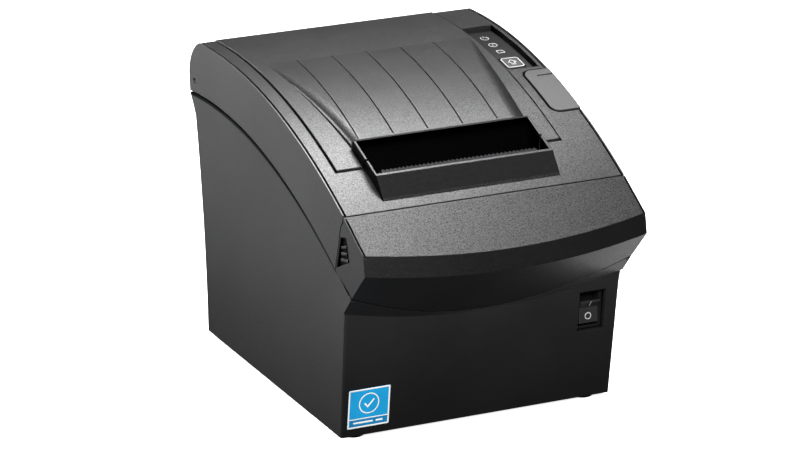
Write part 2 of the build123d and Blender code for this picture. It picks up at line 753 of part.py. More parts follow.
with BuildPart() as latch_pin:
    rod(48.7, 69.2, LATCH_PIVOT, 2.0)
latch_pin.part.label = "latch_pin"
export_step(latch_pin.part, "parts/latch_pin.step")

# ---------------------------------------------------------------- control panel
board_y = 34.0
board_slope = degrees(atan2(roof_slope(board_y), 1.0))
board_plane = Plane(
    origin=(BUTTON_X, board_y, roof(board_y) - 11.2),
    x_dir=(1, 0, 0),
    z_dir=(0, -sin(radians(board_slope)), cos(radians(board_slope))),
)

with BuildPart() as feed_button:
    with BuildSketch(button_plane.offset(-3.0)):
        RectangleRounded(BUTTON_SIZE, BUTTON_SIZE, 1.7)
    extrude(amount=3.4)
    chamfer(feed_button.edges().group_by(Axis.Z)[-1], length=0.3)
    with BuildSketch(button_plane.offset(-3.6)):
        RectangleRounded(12.4, 12.4, 2.2)
    extrude(amount=0.9)
feed_button.part.label = "feed_button"
export_step(feed_button.part, "parts/feed_button.step")

with BuildPart() as light_pipes:
    for y in ICON_PLACES:
        with BuildSketch(icon_plane(y).offset(-4.0)):
            Circle(2.2)
        extrude(amount=4.0)
light_pipes.part.label = "light_pipes"
export_step(light_pipes.part, "parts/light_pipes.step")

with BuildPart() as panel_board:
    with BuildSketch(board_plane):
        Rectangle(14.0, 42.0)
    extrude(amount=1.6)
    with BuildSketch(board_plane.offset(1.6)):
        with Locations((0, BUTTON_Y - board_y)):
            Rectangle(6.0, 6.0)
    extrude(amount=0.8)
panel_board.part.label = "panel_board"
export_step(panel_board.part, "parts/panel_board.step")

# ---------------------------------------------------------------- power switch
SWITCH_FACE = SWITCH_Y + SWITCH_RECESS
ROCKER_PIVOT = (-63.6, SWITCH_Z)
ROCKER_HALF = 4.9

with BuildPart() as power_switch:
    block(SWITCH_X - 6.8, SWITCH_X + 6.8, SWITCH_FACE, -52.0, SWITCH_Z - 9.7, SWITCH_Z + 9.7)
    block(SWITCH_X - 5.3, SWITCH_X + 5.3, SWITCH_FACE - 1, -59.4, SWITCH_Z - 8.4, SWITCH_Z + 7.6, mode=Mode.SUBTRACT)
    rod(SWITCH_X - 6.9, SWITCH_X + 6.9, ROCKER_PIVOT, 1.0 + RUNNING, mode=Mode.SUBTRACT)
    for x in (SWITCH_X - 3, SWITCH_X + 3):
        block(x - 0.4, x + 0.4, -52.0, -46.0, SWITCH_Z - 2.4, SWITCH_Z + 2.4)
power_switch.part.label = "power_switch"
export_step(power_switch.part, "parts/power_switch.step")

with BuildPart() as power_rocker:
    rocker = (
        (-62.4, SWITCH_Z - 6.6),
        (-66.6, SWITCH_Z - 7.0),
        (-66.0, SWITCH_Z + 0.5),
        (-69.1, SWITCH_Z + 4.9),
        (-62.4, SWITCH_Z + 2.4),
    )
    prism(SWITCH_X - ROCKER_HALF, SWITCH_X + ROCKER_HALF, rocker)
    fillet(power_rocker.edges().filter_by(Axis.X).group_by(Axis.Y)[0], radius=0.5)
    rod(SWITCH_X - 6.1, SWITCH_X + 6.1, ROCKER_PIVOT, 1.0)
power_rocker.part.label = "power_rocker"
export_step(power_rocker.part, "parts/power_rocker.step")

# ---------------------------------------------------------------- front sticker
LABEL_X = -56.7
LABEL_Z = 16.0
LABEL_SIZE = (21.2, 19.4)
lean = atan2(FRONT_FOOT - FRONT_SHOULDER, SHOULDER_Z - BASE_Z)
label_plane = Plane(
    origin=(LABEL_X, front_face_y(LABEL_Z) - 0.02, LABEL_Z),
    x_dir=(1, 0, 0),
    z_dir=(0, -cos(lean), -sin(lean)),
)

with BuildPart() as front_label:
    with BuildSketch(label_plane):
        RectangleRounded(*LABEL_SIZE, 0.4)
    extrude(amount=0.2)
front_label.part.label = "front_label"
export_step(front_label.part, "parts/front_label.step")

# ---------------------------------------------------------------- paper bin
with BuildPart() as paper_bin:
    outer_left = BIN_LEFT - BIN_WALL
    outer_right = BIN_RIGHT + BIN_WALL
    rod(outer_left, outer_right, (ROLL_Y, ROLL_Z), BIN_R + BIN_WALL)
    block(outer_left, outer_right, ROLL_Y - BIN_R - BIN_WALL, ROLL_Y + BIN_R + BIN_WALL, ROLL_Z, 110.0)
    for x0 in (outer_left, BIN_RIGHT):
        # side legs that stand on the base plate
        block(x0, x0 + BIN_WALL, 15.0, 45.0, PLATE_HIGH + 0.2, 60.0)
    rod(BIN_LEFT, BIN_RIGHT, (ROLL_Y, ROLL_Z), BIN_R, mode=Mode.SUBTRACT)
    block(BIN_LEFT, BIN_RIGHT, ROLL_Y - BIN_R, ROLL_Y + BIN_R, ROLL_Z, 120.0, mode=Mode.SUBTRACT)
    block(outer_left - 1, outer_right + 1, -20.0, 80.0, 110.0, 140.0, mode=Mode.SUBTRACT)
    block(outer_left - 1, outer_right + 1, -20.0, -6.0, 98.0, 120.0, mode=Mode.SUBTRACT)
paper_bin.part.label = "paper_bin"
export_step(paper_bin.part, "parts/paper_bin.step")

# ---------------------------------------------------------------- print mechanism frame
SHEET = 1.2
FRAME_LEFT = -52.0
FRAME_RIGHT = 42.0
HEAD_X = (-44.0, 35.0)
head_normal = (cos(radians(HEAD_TILT)), sin(radians(HEAD_TILT)))
head_tangent = (-head_normal[1], head_normal[0])


def head_point(along, depth):
    """Point of the head, along its face from the contact line and behind its face."""
    reach = PLATEN_R + HEAD_GAP + depth
    return (
        PLATEN_Y - reach * head_normal[0] + along * head_tangent[0],
        PLATEN_Z - reach * head_normal[1] + along * head_tangent[1],
    )


HEAD_PIVOT = head_point(-9.0, 4.0)
PLATEN_CENTRE = (PLATEN_Y, PLATEN_Z)
IDLER_CENTRE = polar(PLATEN_CENTRE, (PLATEN_TEETH + IDLER_TEETH) / 2, IDLER_DIRECTION)
PINION_CENTRE = polar(IDLER_CENTRE, (IDLER_TEETH + PINION_TEETH) / 2, PINION_DIRECTION)

with BuildPart() as mechanism_frame:
    plate = (
        (-58.0, PLATE_HIGH + 0.2),
        (-58.0, 107.6),
        (-37.0, 107.6),
        (-37.0, 100.4),
        (-27.6, 100.4),
        (-27.6, 107.6),
        (-20.0, 107.6),
        (-10.0, 84.0),
        (-10.0, PLATE_HIGH + 0.2),
    )
    for x0 in (FRAME_LEFT, FRAME_RIGHT):
        prism(x0, x0 + SHEET, plate)
        rod(x0 - 1, x0 + SHEET + 1, HEAD_PIVOT, 1.2 + RUNNING, mode=Mode.SUBTRACT)
    block(FRAME_LEFT + SHEET, FRAME_RIGHT, -58.0, -38.0, 82.0, 82.0 + SHEET)
    rod(FRAME_RIGHT - 1, FRAME_RIGHT + 3, IDLER_CENTRE, 2.0 + RUNNING, mode=Mode.SUBTRACT)
    rod(FRAME_RIGHT - 1, FRAME_RIGHT + 3, PINION_CENTRE, 3.0, mode=Mode.SUBTRACT)
mechanism_frame.part.label = "mechanism_frame"
export_step(mechanism_frame.part, "parts/mechanism_frame.step")

# ---------------------------------------------------------------- platen on the roll cover
CARRIERS = (-49.6, 39.0)
CARRIER_WALL = 1.8

with BuildPart() as platen_carrier:
    for x0 in CARRIERS:
        prism(x0, x0 + CARRIER_WALL, ((-36.0, 98.6), (-26.0, 98.6), (-22.0, 108.0), (-22.0, 117.0), (-37.4, 117.0)))
        rod(x0 - 1, x0 + CARRIER_WALL + 1, PLATEN_CENTRE, BEARING_R + RUNNING, mode=Mode.SUBTRACT)
    block(CARRIERS[0], CARRIERS[1] + CARRIER_WALL, -37.4, -22.0, 115.2, 117.0)
    for x in (-40.0, -4.4, 31.0):
        block(x - 3, x + 3, -24.0, -22.0, 117.0, 127.4)
platen_carrier.part.label = "platen_carrier"
export_step(platen_carrier.part, "parts/platen_carrier.step")

with BuildPart() as platen_bearings:
    for x0 in CARRIERS:
        rod(x0, x0 + CARRIER_WALL, PLATEN_CENTRE, BEARING_R)
        rod(x0 - 1, x0 + CARRIER_WALL + 1, PLATEN_CENTRE, SHAFT_R + RUNNING, mode=Mode.SUBTRACT)
platen_bearings.part.label = "platen_bearings"
export_step(platen_bearings.part, "parts/platen_bearings.step")

with BuildPart() as platen_shaft:
    rod(-50.4, 51.0, PLATEN_CENTRE, SHAFT_R)
platen_shaft.part.label = "platen_shaft"
export_step(platen_shaft.part, "parts/platen_shaft.step")

with BuildPart() as platen_rubber:
    rod(-45.0, 36.2, PLATEN_CENTRE, PLATEN_R)
    rod(-46.0, 37.2, PLATEN_CENTRE, SHAFT_R + 0.03, mode=Mode.SUBTRACT)
platen_rubber.part.label = "platen_rubber"
export_step(platen_rubber.part, "parts/platen_rubber.step")

with BuildPart() as fixed_blade:
    block(-45.0, 36.0, -43.4, -30.0, 113.8, 115.0)
    chamfer(fixed_blade.edges().filter_by(Axis.X).group_by(Axis.Y)[0].sort_by(Axis.Z)[-1], length=0.8)
fixed_blade.part.label = "fixed_blade"
export_step(fixed_blade.part, "parts/fixed_blade.step")

# ---------------------------------------------------------------- feed gears and motor
half_tooth = 180 / IDLER_TEETH
idler_turn = IDLER_DIRECTION + 180 + half_tooth
idler_lag = (PINION_DIRECTION - idler_turn) % (2 * half_tooth)
pinion_turn = PINION_DIRECTION + 180 + idler_lag * IDLER_TEETH / PINION_TEETH + 180 / PINION_TEETH

with BuildPart() as platen_gear:
    gear(GEAR_LEFT, GEAR_RIGHT, PLATEN_CENTRE, PLATEN_TEETH, IDLER_DIRECTION, SHAFT_R + 0.03)
platen_gear.part.label = "platen_gear"
export_step(platen_gear.part, "parts/platen_gear.step")

with BuildPart() as idler_gear:
    gear(GEAR_LEFT, GEAR_RIGHT, IDLER_CENTRE, IDLER_TEETH, idler_turn, 2.0 + RUNNING)
idler_gear.part.label = "idler_gear"
export_step(idler_gear.part, "parts/idler_gear.step")

with BuildPart() as idler_shaft:
    rod(FRAME_RIGHT + 0.1, GEAR_RIGHT + 0.5, IDLER_CENTRE, 2.0)
idler_shaft.part.label = "idler_shaft"
export_step(idler_shaft.part, "parts/idler_shaft.step")

with BuildPart() as motor_pinion:
    gear(GEAR_LEFT, GEAR_RIGHT, PINION_CENTRE, PINION_TEETH, pinion_turn, 1.0)
    rod(GEAR_LEFT - 0.2, 49.0, PINION_CENTRE, 1.5)
motor_pinion.part.label = "motor_pinion"
export_step(motor_pinion.part, "parts/motor_pinion.step")

with BuildPart() as feed_motor:
    rod(49.2, 66.0, PINION_CENTRE, 15.0)
    rod(66.0, 67.0, PINION_CENTRE, 5.0)
    for angle in (180.0, -60.0):
        rod(FRAME_RIGHT + SHEET + 0.1, 49.2, polar(PINION_CENTRE, 12.5, angle), 2.0)
feed_motor.part.label = "feed_motor"
export_step(feed_motor.part, "parts/feed_motor.step")

# ---------------------------------------------------------------- print head
with BuildPart() as print_head:
    prism(*HEAD_X, (head_point(8, 0), head_point(-10, 0), head_point(-10, 1.2), head_point(8, 1.2)))
print_head.part.label = "print_head"
export_step(print_head.part, "parts/print_head.step")

with BuildPart() as head_heatsink:
    sink = (head_point(7, 1.3), head_point(-12, 1.3), head_point(-12, 6.3), head_point(7, 6.3))
    prism(-46.0, 37.0, sink)
    for along in (-4.5, -1.0, 2.5):
        fin = (
            head_point(along, 3.2),
            head_point(along - 1.6, 3.2),
            head_point(along - 1.6, 8.0),
            head_point(along, 8.0),
        )
        prism(-47.0, 38.0, fin, mode=Mode.SUBTRACT)
    rod(-47.0, 38.0, HEAD_PIVOT, 1.2 + RUNNING, mode=Mode.SUBTRACT)
head_heatsink.part.label = "head_heatsink"
export_step(head_heatsink.part, "parts/head_heatsink.step")

with BuildPart() as head_pin:
    rod(FRAME_LEFT - 0.4, FRAME_RIGHT + SHEET + 0.4, HEAD_PIVOT, 1.2)
head_pin.part.label = "head_pin"
export_step(head_pin.part, "parts/head_pin.step")

# ---------------------------------------------------------------- cutter
BLADE_LOW = 112.5
BLADE_HIGH = 113.5

with BuildPart() as cutter_base:
    block(-47.8, 39.0, -58.4, -46.4, 107.8, 109.0)
    block(-47.8, -46.6, -58.4, -46.4, 109.0, 113.4)
    block(37.8, 39.0, -58.4, -46.4, 109.0, 113.4)
    block(-46.6, 37.8, -58.4, -57.2, 109.0, 113.4)
cutter_base.part.label = "cutter_base"
export_step(cutter_base.part, "parts/cutter_base.step")

with BuildPart() as moving_blade:
    block(-46.0, 37.4, -56.0, -48.2, BLADE_LOW, BLADE_HIGH)
    prism(-46.0, 37.4, ((-48.2, BLADE_LOW), (-47.0, BLADE_HIGH), (-48.2, BLADE_HIGH)))
    block(-12.0, 4.0, -56.0, -52.0, 109.4, BLADE_LOW)
moving_blade.part.label = "moving_blade"
export_step(moving_blade.part, "parts/moving_blade.step")

with BuildPart() as cutter_motor:
    rod(6.0, 32.0, (-52.0, 97.0), 4.0)
    rod(3.0, 6.0, (-52.0, 97.0), 1.6)
    block(8.0, 30.0, -56.0, -48.0, 97.0, 107.6)
cutter_motor.part.label = "cutter_motor"
export_step(cutter_motor.part, "parts/cutter_motor.step")

TEAR_TEETH = 38
TEAR_PITCH = 2.1
with BuildPart() as tear_bar:
    low_y = RIM_FRONT[0] + POCKET_WALL + 0.35
    tip_y = -47.8
    low_z = rim(low_y) - 3.4
    tear_plane = Plane(origin=(-4.4, low_y, low_z), x_dir=(1, 0, 0), z_dir=Vector(0, -rim_slope, 1).normalized())
    bar_length = hypot(tip_y - low_y, rim(tip_y) - rim(low_y))
    half_span = TEAR_TEETH * TEAR_PITCH / 2
    teeth = [(half_span, 0.0), (-half_span, 0.0)]
    for tooth in range(TEAR_TEETH):
        left = -half_span + tooth * TEAR_PITCH
        teeth += [(left, bar_length - 1.1), (left + TEAR_PITCH / 2, bar_length)]
    teeth.append((half_span, bar_length - 1.1))
    with BuildSketch(tear_plane):
        with BuildLine():
            Polyline(*teeth, close=True)
        make_face()
    extrude(amount=0.8)
tear_bar.part.label = "tear_bar"
export_step(tear_bar.part, "parts/tear_bar.step")

# ---------------------------------------------------------------- boards and connectors
with BuildPart() as main_board:
    block(-49.0, 40.0, -56.0, 12.0, 8.0, 9.6)
    block(-10.0, 10.0, -30.0, -10.0, 9.6, 11.4)
    block(20.0, 34.0, -40.0, -30.0, 9.6, 11.0)
    block(-40.0, -28.0, -20.0, -8.0, 9.6, 11.6)
    for x, y in ((-36, -44), (-22, -44), (28, 0), (28, -16)):
        post((x, y), 4.0, 9.6, 20.0)
main_board.part.label = "main_board"
export_step(main_board.part, "parts/main_board.step")

with BuildPart() as interface_board:
    block(-54.0, 36.0, 47.0, 69.0, 14.0, 15.6)
    block(-30.0, -16.0, 49.0, 58.0, 15.6, 17.0)
interface_board.part.label = "interface_board"
export_step(interface_board.part, "parts/interface_board.step")

SOCKETS = {
    # name: left, right, low, high, front and rear of the socket body
    "serial_socket": (-50.0, -19.0, 15.8, 28.4, 60.0, 72.6),
    "usb_socket": (-14.0, -2.0, 15.8, 26.8, 58.0, 74.0),
    "drawer_jack": (3.0, 16.0, 15.8, 29.0, 58.0, 74.0),
    "power_inlet": (21.0, 35.0, 15.8, 29.8, 58.0, 74.0),
}

with BuildPart() as connector_plate:
    block(-58.0, 40.0, 69.6, 70.8, 11.6, 43.0)
    for left, right, low, high, front, rear in SOCKETS.values():
        block(left - 0.3, right + 0.3, 69.0, 72.0, low - 0.3, high + 0.3, mode=Mode.SUBTRACT)
connector_plate.part.label = "connector_plate"
export_step(connector_plate.part, "parts/connector_plate.step")


def socket_body(name):
    left, right, low, high, front, rear = SOCKETS[name]
    block(left, right, front, rear, low, high)


def socket_middle(name):
    left, right, low, high, front, rear = SOCKETS[name]
    return ((left + right) / 2, (low + high) / 2)


with BuildPart() as serial_socket:
    socket_body("serial_socket")
    x, z = socket_middle("serial_socket")
    dee = ((-9.2, 4.6), (9.2, 4.6), (7.8, -4.6), (-7.8, -4.6))
    with BuildSketch(Plane.XZ.offset(-76.4)):
        with BuildLine():
            Polyline(*[(x + u, z + v) for u, v in dee], close=True)
        make_face()
    extrude(amount=5.0)
    with BuildSketch(Plane.XZ.offset(-79.0)):
        with BuildLine():
            Polyline(*[(x + u * 0.9, z + v * 0.84) for u, v in dee], close=True)
        make_face()
    extrude(amount=12.0, mode=Mode.SUBTRACT)
serial_socket.part.label = "serial_socket"
export_step(serial_socket.part, "parts/serial_socket.step")

with BuildPart() as usb_socket:
    socket_body("usb_socket")
    x, z = socket_middle("usb_socket")
    block(x - 4.3, x + 4.3, 64.0, 76.0, z - 4.0, z + 4.0, mode=Mode.SUBTRACT)
    block(x - 2.8, x + 2.8, 64.0, 72.0, z + 2.0, z + 3.4)
usb_socket.part.label = "usb_socket"
export_step(usb_socket.part, "parts/usb_socket.step")

with BuildPart() as drawer_jack:
    socket_body("drawer_jack")
    x, z = socket_middle("drawer_jack")
    block(x - 5.0, x + 5.0, 62.0, 76.0, z - 3.8, z + 3.8, mode=Mode.SUBTRACT)
    block(x - 2.0, x + 2.0, 62.0, 76.0, z + 3.8, z + 5.4, mode=Mode.SUBTRACT)
drawer_jack.part.label = "drawer_jack"
export_step(drawer_jack.part, "parts/drawer_jack.step")

with BuildPart() as power_inlet:
    socket_body("power_inlet")
    x, z = socket_middle("power_inlet")
    with BuildSketch(Plane.XZ.offset(-75.0)):
        with Locations((x, z)):
            Circle(4.9)
    extrude(amount=11.0, mode=Mode.SUBTRACT)
    with BuildSketch(Plane.XZ.offset(-71.0)):
        for angle in (90, 210, 330):
            with Locations((x + 2.6 * cos(radians(angle)), z + 2.6 * sin(radians(angle)))):
                Circle(0.6)
    extrude(amount=8.0)
power_inlet.part.label = "power_inlet"
export_step(power_inlet.part, "parts/power_inlet.step")
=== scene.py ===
import json
from math import cos, pi, radians, sin

import bmesh
import bpy
from mathutils import Matrix, Vector


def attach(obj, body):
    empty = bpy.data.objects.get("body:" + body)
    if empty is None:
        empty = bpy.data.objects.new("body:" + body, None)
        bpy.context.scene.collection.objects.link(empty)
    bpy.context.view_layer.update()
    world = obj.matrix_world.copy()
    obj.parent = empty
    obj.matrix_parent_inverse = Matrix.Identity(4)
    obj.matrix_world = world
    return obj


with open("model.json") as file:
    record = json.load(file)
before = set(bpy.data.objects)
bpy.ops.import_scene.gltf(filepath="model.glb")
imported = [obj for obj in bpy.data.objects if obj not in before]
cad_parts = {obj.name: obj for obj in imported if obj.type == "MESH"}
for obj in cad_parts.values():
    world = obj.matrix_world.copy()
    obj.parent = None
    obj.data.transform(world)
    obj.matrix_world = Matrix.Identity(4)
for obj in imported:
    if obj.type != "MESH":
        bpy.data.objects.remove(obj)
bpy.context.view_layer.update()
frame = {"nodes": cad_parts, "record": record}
record = frame["record"]
nodes = frame["nodes"]
MM = 0.001

scene = bpy.context.scene
scene.view_settings.view_transform = "Standard"
scene.view_settings.look = "None"

# ------------------------------------------------------------------ camera
CAMERA_AT = Vector((-0.92981, -1.75021, 0.81279))
YAW, PITCH, ROLL = radians(-27.775), radians(-20.480), radians(1.784)
LENS = 203.39


def make_camera():
    forward = Vector((-sin(YAW) * cos(PITCH), cos(YAW) * cos(PITCH), sin(PITCH)))
    level = Vector((cos(YAW), sin(YAW), 0.0))
    above = level.cross(forward)
    right = cos(ROLL) * level + sin(ROLL) * above
    up = cos(ROLL) * above - sin(ROLL) * level
    turn = Matrix((right, up, -forward)).transposed().to_4x4()
    camera = bpy.data.objects.new("camera", bpy.data.cameras.new("camera"))
    camera.matrix_world = Matrix.Translation(CAMERA_AT) @ turn
    camera.data.lens = LENS
    camera.data.sensor_width = 36.0
    camera.data.clip_end = 20.0
    scene.collection.objects.link(camera)
    scene.camera = camera


make_camera()


# ------------------------------------------------------------------ materials
def node_kit(material):
    material.use_nodes = True
    tree = material.node_tree
    return tree, tree.nodes["Principled BSDF"]


def noise(tree, coords, scale, detail=2.0, rough=0.5):
    texture = tree.nodes.new("ShaderNodeTexNoise")
    texture.inputs["Scale"].default_value = scale
    texture.inputs["Detail"].default_value = detail
    texture.inputs["Roughness"].default_value = rough
    tree.links.new(coords, texture.inputs["Vector"])
    return texture.outputs["Fac"]


def ramp(tree, value, stops):
    mapped = tree.nodes.new("ShaderNodeMapRange")
    mapped.inputs["From Min"].default_value = stops[0]
    mapped.inputs["From Max"].default_value = stops[1]
    mapped.inputs["To Min"].default_value = stops[2]
    mapped.inputs["To Max"].default_value = stops[3]
    tree.links.new(value, mapped.inputs["Value"])
    return mapped.outputs["Result"]


def mix_colour(tree, share, first, second):
    mix = tree.nodes.new("ShaderNodeMix")
    mix.data_type = "RGBA"
    for socket, value in (("A", first), ("B", second)):
        target = [s for s in mix.inputs if s.name == socket and s.type == "RGBA"][0]
        if isinstance(value, tuple):
            target.default_value = (*value, 1.0)
        else:
            tree.links.new(value, target)
    tree.links.new(share, mix.inputs["Factor"])
    return [s for s in mix.outputs if s.type == "RGBA"][0]


def edge_mask(tree, radius):
    """1 on convex and concave edges, 0 on flat ground, and the rounded normal."""
    bevel = tree.nodes.new("ShaderNodeBevel")
    bevel.samples = 6
    bevel.inputs["Radius"].default_value = radius
    geometry = tree.nodes.new("ShaderNodeNewGeometry")
    dot = tree.nodes.new("ShaderNodeVectorMath")
    dot.operation = "DOT_PRODUCT"
    tree.links.new(bevel.outputs["Normal"], dot.inputs[0])
    tree.links.new(geometry.outputs["Normal"], dot.inputs[1])
    return ramp(tree, dot.outputs["Value"], (0.995, 0.86, 0.0, 1.0)), bevel.outputs["Normal"]


def crevice(tree, reach):
    """Mask for painted shade: 1 on open ground, falling to 0 deep in gaps and corners."""
    cover = tree.nodes.new("ShaderNodeAmbientOcclusion")
    cover.samples = 6
    cover.inputs["Distance"].default_value = reach
    return ramp(tree, cover.outputs["AO"], (0.18, 0.50, 0.0, 1.0))


def plastic(
    name,
    base,
    roughness,
    grain=0.0,
    grain_scale=1900.0,
    speckle=0.0,
    edge=0.3,
    edge_radius=0.00045,
    swing=0.05,
    sparkle=0.0,
    sparkle_scale=1600.0,
    reach=0.004,
):
    """Moulded plastic: spark-eroded grain, faint blotches, slightly polished edges, painted shade in gaps
    and corners.
    """
    material = bpy.data.materials.new(name)
    tree, shader = node_kit(material)
    coords = tree.nodes.new("ShaderNodeTexCoord").outputs["Object"]
    blotch = noise(tree, coords, 28.0, 3.0, 0.55)
    fine = noise(tree, coords, grain_scale, 3.0, 0.6)
    dark = tuple(c * 0.86 for c in base)
    light = tuple(c * 1.14 for c in base)
    colour = mix_colour(tree, ramp(tree, blotch, (0.35, 0.65, 0.0, 1.0)), dark, light)
    if speckle:
        bright = tuple(min(1.0, c * (1.0 + speckle)) for c in base)
        colour = mix_colour(tree, ramp(tree, fine, (0.5, 0.68, 0.0, 1.0)), colour, bright)
    mask, rounded = edge_mask(tree, edge_radius)
    worn = tuple(min(1.0, c * 1.9 + 0.015) for c in base)
    share = tree.nodes.new("ShaderNodeMath")
    share.operation = "MULTIPLY"
    share.inputs[1].default_value = edge
    tree.links.new(mask, share.inputs[0])
    worn_colour = mix_colour(tree, share.outputs[0], colour, worn)
    # painted shade: gaps and corners found by the AO node are painted towards black
    opened = crevice(tree, reach)
    crevice_shade = tuple(c * 0.12 for c in base)
    tree.links.new(mix_colour(tree, opened, crevice_shade, worn_colour), shader.inputs["Base Color"])
    # painted shade: unlit gaps lose their sheen, as metallic with a black base reflects nothing
    dull = ramp(tree, opened, (0.0, 1.0, 1.0, 0.0))
    if sparkle:
        facing = tree.nodes.new("ShaderNodeTexCoord").outputs["Normal"]
        level = tree.nodes.new("ShaderNodeSeparateXYZ")
        tree.links.new(facing, level.inputs[0])
        fade = ramp(tree, level.outputs["Z"], (0.997, 0.970, 0.25, 1.0))
        upper = combine(tree, "MULTIPLY", compare(tree, level.outputs["Z"], 0.6, True), fade)
        spots = ramp(tree, noise(tree, coords, sparkle_scale, 2.0, 0.6), (0.38, 0.66, 0.0, sparkle))
        dull = combine(tree, "MAXIMUM", dull, combine(tree, "MULTIPLY", spots, upper))
    tree.links.new(dull, shader.inputs["Metallic"])
    rough = ramp(tree, fine, (0.36, 0.64, roughness - swing, roughness + swing))
    tree.links.new(rough, shader.inputs["Roughness"])
    bump = tree.nodes.new("ShaderNodeBump")
    bump.inputs["Strength"].default_value = max(grain, 0.03)
    bump.inputs["Distance"].default_value = 0.00010
    tree.links.new(fine, bump.inputs["Height"])
    tree.links.new(rounded, bump.inputs["Normal"])
    tree.links.new(bump.outputs["Normal"], shader.inputs["Normal"])
    shader.inputs["IOR"].default_value = 1.5
    return material


def metal(name, base, roughness, stretch=(1.0, 40.0, 40.0), scale=60.0):
    """Rolled or ground metal with fine lines along one axis."""
    material = bpy.data.materials.new(name)
    tree, shader = node_kit(material)
    coords = tree.nodes.new("ShaderNodeTexCoord").outputs["Object"]
    mapping = tree.nodes.new("ShaderNodeMapping")
    mapping.inputs["Scale"].default_value = stretch
    tree.links.new(coords, mapping.inputs["Vector"])
    lines = noise(tree, mapping.outputs["Vector"], scale, 4.0, 0.6)
    dark = tuple(c * 0.8 for c in base)
    tree.links.new(mix_colour(tree, lines, dark, base), shader.inputs["Base Color"])
    rough = ramp(tree, lines, (0.3, 0.7, roughness - 0.06, roughness + 0.08))
    tree.links.new(rough, shader.inputs["Roughness"])
    shader.inputs["Metallic"].default_value = 1.0
    bump = tree.nodes.new("ShaderNodeBump")
    bump.inputs["Strength"].default_value = 0.08
    bump.inputs["Distance"].default_value = 0.00005
    tree.links.new(lines, bump.inputs["Height"])
    tree.links.new(bump.outputs["Normal"], shader.inputs["Normal"])
    return material


def compare(tree, value, limit, above):
    """1 where value is above (or below) the limit."""
    node = tree.nodes.new("ShaderNodeMath")
    node.operation = "GREATER_THAN" if above else "LESS_THAN"
    node.inputs[1].default_value = limit
    tree.links.new(value, node.inputs[0])
    return node.outputs[0]


def combine(tree, operation, first, second):
    node = tree.nodes.new("ShaderNodeMath")
    node.operation = operation
    for socket, value in ((0, first), (1, second)):
        if isinstance(value, float):
            node.inputs[socket].default_value = value
        else:
            tree.links.new(value, node.inputs[socket])
    return node.outputs[0]


def product(tree, *values):
    total = values[0]
    for value in values[1:]:
        total = combine(tree, "MULTIPLY", total, value)
    return total


def pocket_zones(tree):
    """Masks over the top pieces: outer pocket walls with the panel floor, and the black inside, which is
    painted shadow over the pocket, the recess wall beside the panel and the pocket's left flank.
    """
    x, y, z = split_position(tree)
    across = combine(tree, "ABSOLUTE", combine(tree, "ADD", x, 0.0044), 0.0)
    back = combine(tree, "SUBTRACT", y, 0.0672)
    fall = combine(tree, "MULTIPLY", combine(tree, "MULTIPLY", back, back), 1.937)
    proud = combine(tree, "SUBTRACT", combine(tree, "ADD", z, fall), 0.1455)
    outer = product(
        tree,
        compare(tree, y, -0.0303, False),
        compare(tree, y, -0.0640, True),
        compare(tree, across, 0.0460, False),
        compare(tree, proud, 0.0007, True),
    )
    floor_zone = product(
        tree,
        compare(tree, x, 0.0525, True),
        compare(tree, y, 0.0106, True),
        compare(tree, y, 0.0583, False),
        compare(tree, proud, -0.0012, False),
        compare(tree, proud, -0.0045, True),
    )
    outer = combine(tree, "MAXIMUM", outer, floor_zone)
    sunk = product(tree, compare(tree, proud, -0.0003, False), compare(tree, proud, -0.0040, True))
    beside = product(tree, compare(tree, x, 0.0686, True), compare(tree, y, 0.0098, True), sunk)
    flank = product(
        tree,
        compare(tree, x, -0.0496, False),
        compare(tree, x, -0.0505, True),
        compare(tree, y, -0.0310, False),
        compare(tree, y, -0.0632, True),
        compare(tree, proud, 0.0001, True),
    )
    rim_line = combine(tree, "MULTIPLY", combine(tree, "ADD", y, 0.0546), 0.3886)
    below_rim = combine(tree, "SUBTRACT", combine(tree, "ADD", rim_line, 0.1225), z)
    # painted shadow: black inside the pocket, on the recess wall beside the panel and on the pocket's left
    # flank
    black_shade = product(
        tree,
        compare(tree, y, -0.0316, False),
        compare(tree, y, -0.0534, True),
        compare(tree, across, 0.0444, False),
        compare(tree, below_rim, 0.0002, True),
    )
    black_shade = combine(tree, "MAXIMUM", black_shade, combine(tree, "MAXIMUM", beside, flank))
    return outer, black_shade


def darken(material, mask):
    """Turns a masked zone into unlit black."""
    tree = material.node_tree
    shader = tree.nodes["Principled BSDF"]
    base = shader.inputs["Base Color"].links[0].from_socket
    tree.links.new(mix_colour(tree, mask, base, (0.0008, 0.0008, 0.0008)), shader.inputs["Base Color"])
    metallic = shader.inputs["Metallic"].links[0].from_socket
    tree.links.new(combine(tree, "MAXIMUM", metallic, mask), shader.inputs["Metallic"])


def split_position(tree):
    coords = tree.nodes.new("ShaderNodeTexCoord").outputs["Object"]
    split = tree.nodes.new("ShaderNodeSeparateXYZ")
    tree.links.new(coords, split.inputs[0])
    return split.outputs


def shade_down(material):
    """Painted shade: darkens the case plastic and dulls its sheen towards its foot."""
    tree = material.node_tree
    shader = tree.nodes["Principled BSDF"]
    height = split_position(tree)[2]
    base = shader.inputs["Base Color"].links[0].from_socket
    share = ramp(tree, height, (0.0, 0.070, 0.60, 0.0))
    tree.links.new(mix_colour(tree, share, base, (0.0030, 0.0030, 0.0032)), shader.inputs["Base Color"])
    metallic = shader.inputs["Metallic"].links[0].from_socket
    duller = combine(tree, "MULTIPLY", share, 0.6)
    tree.links.new(combine(tree, "MAXIMUM", metallic, duller), shader.inputs["Metallic"])


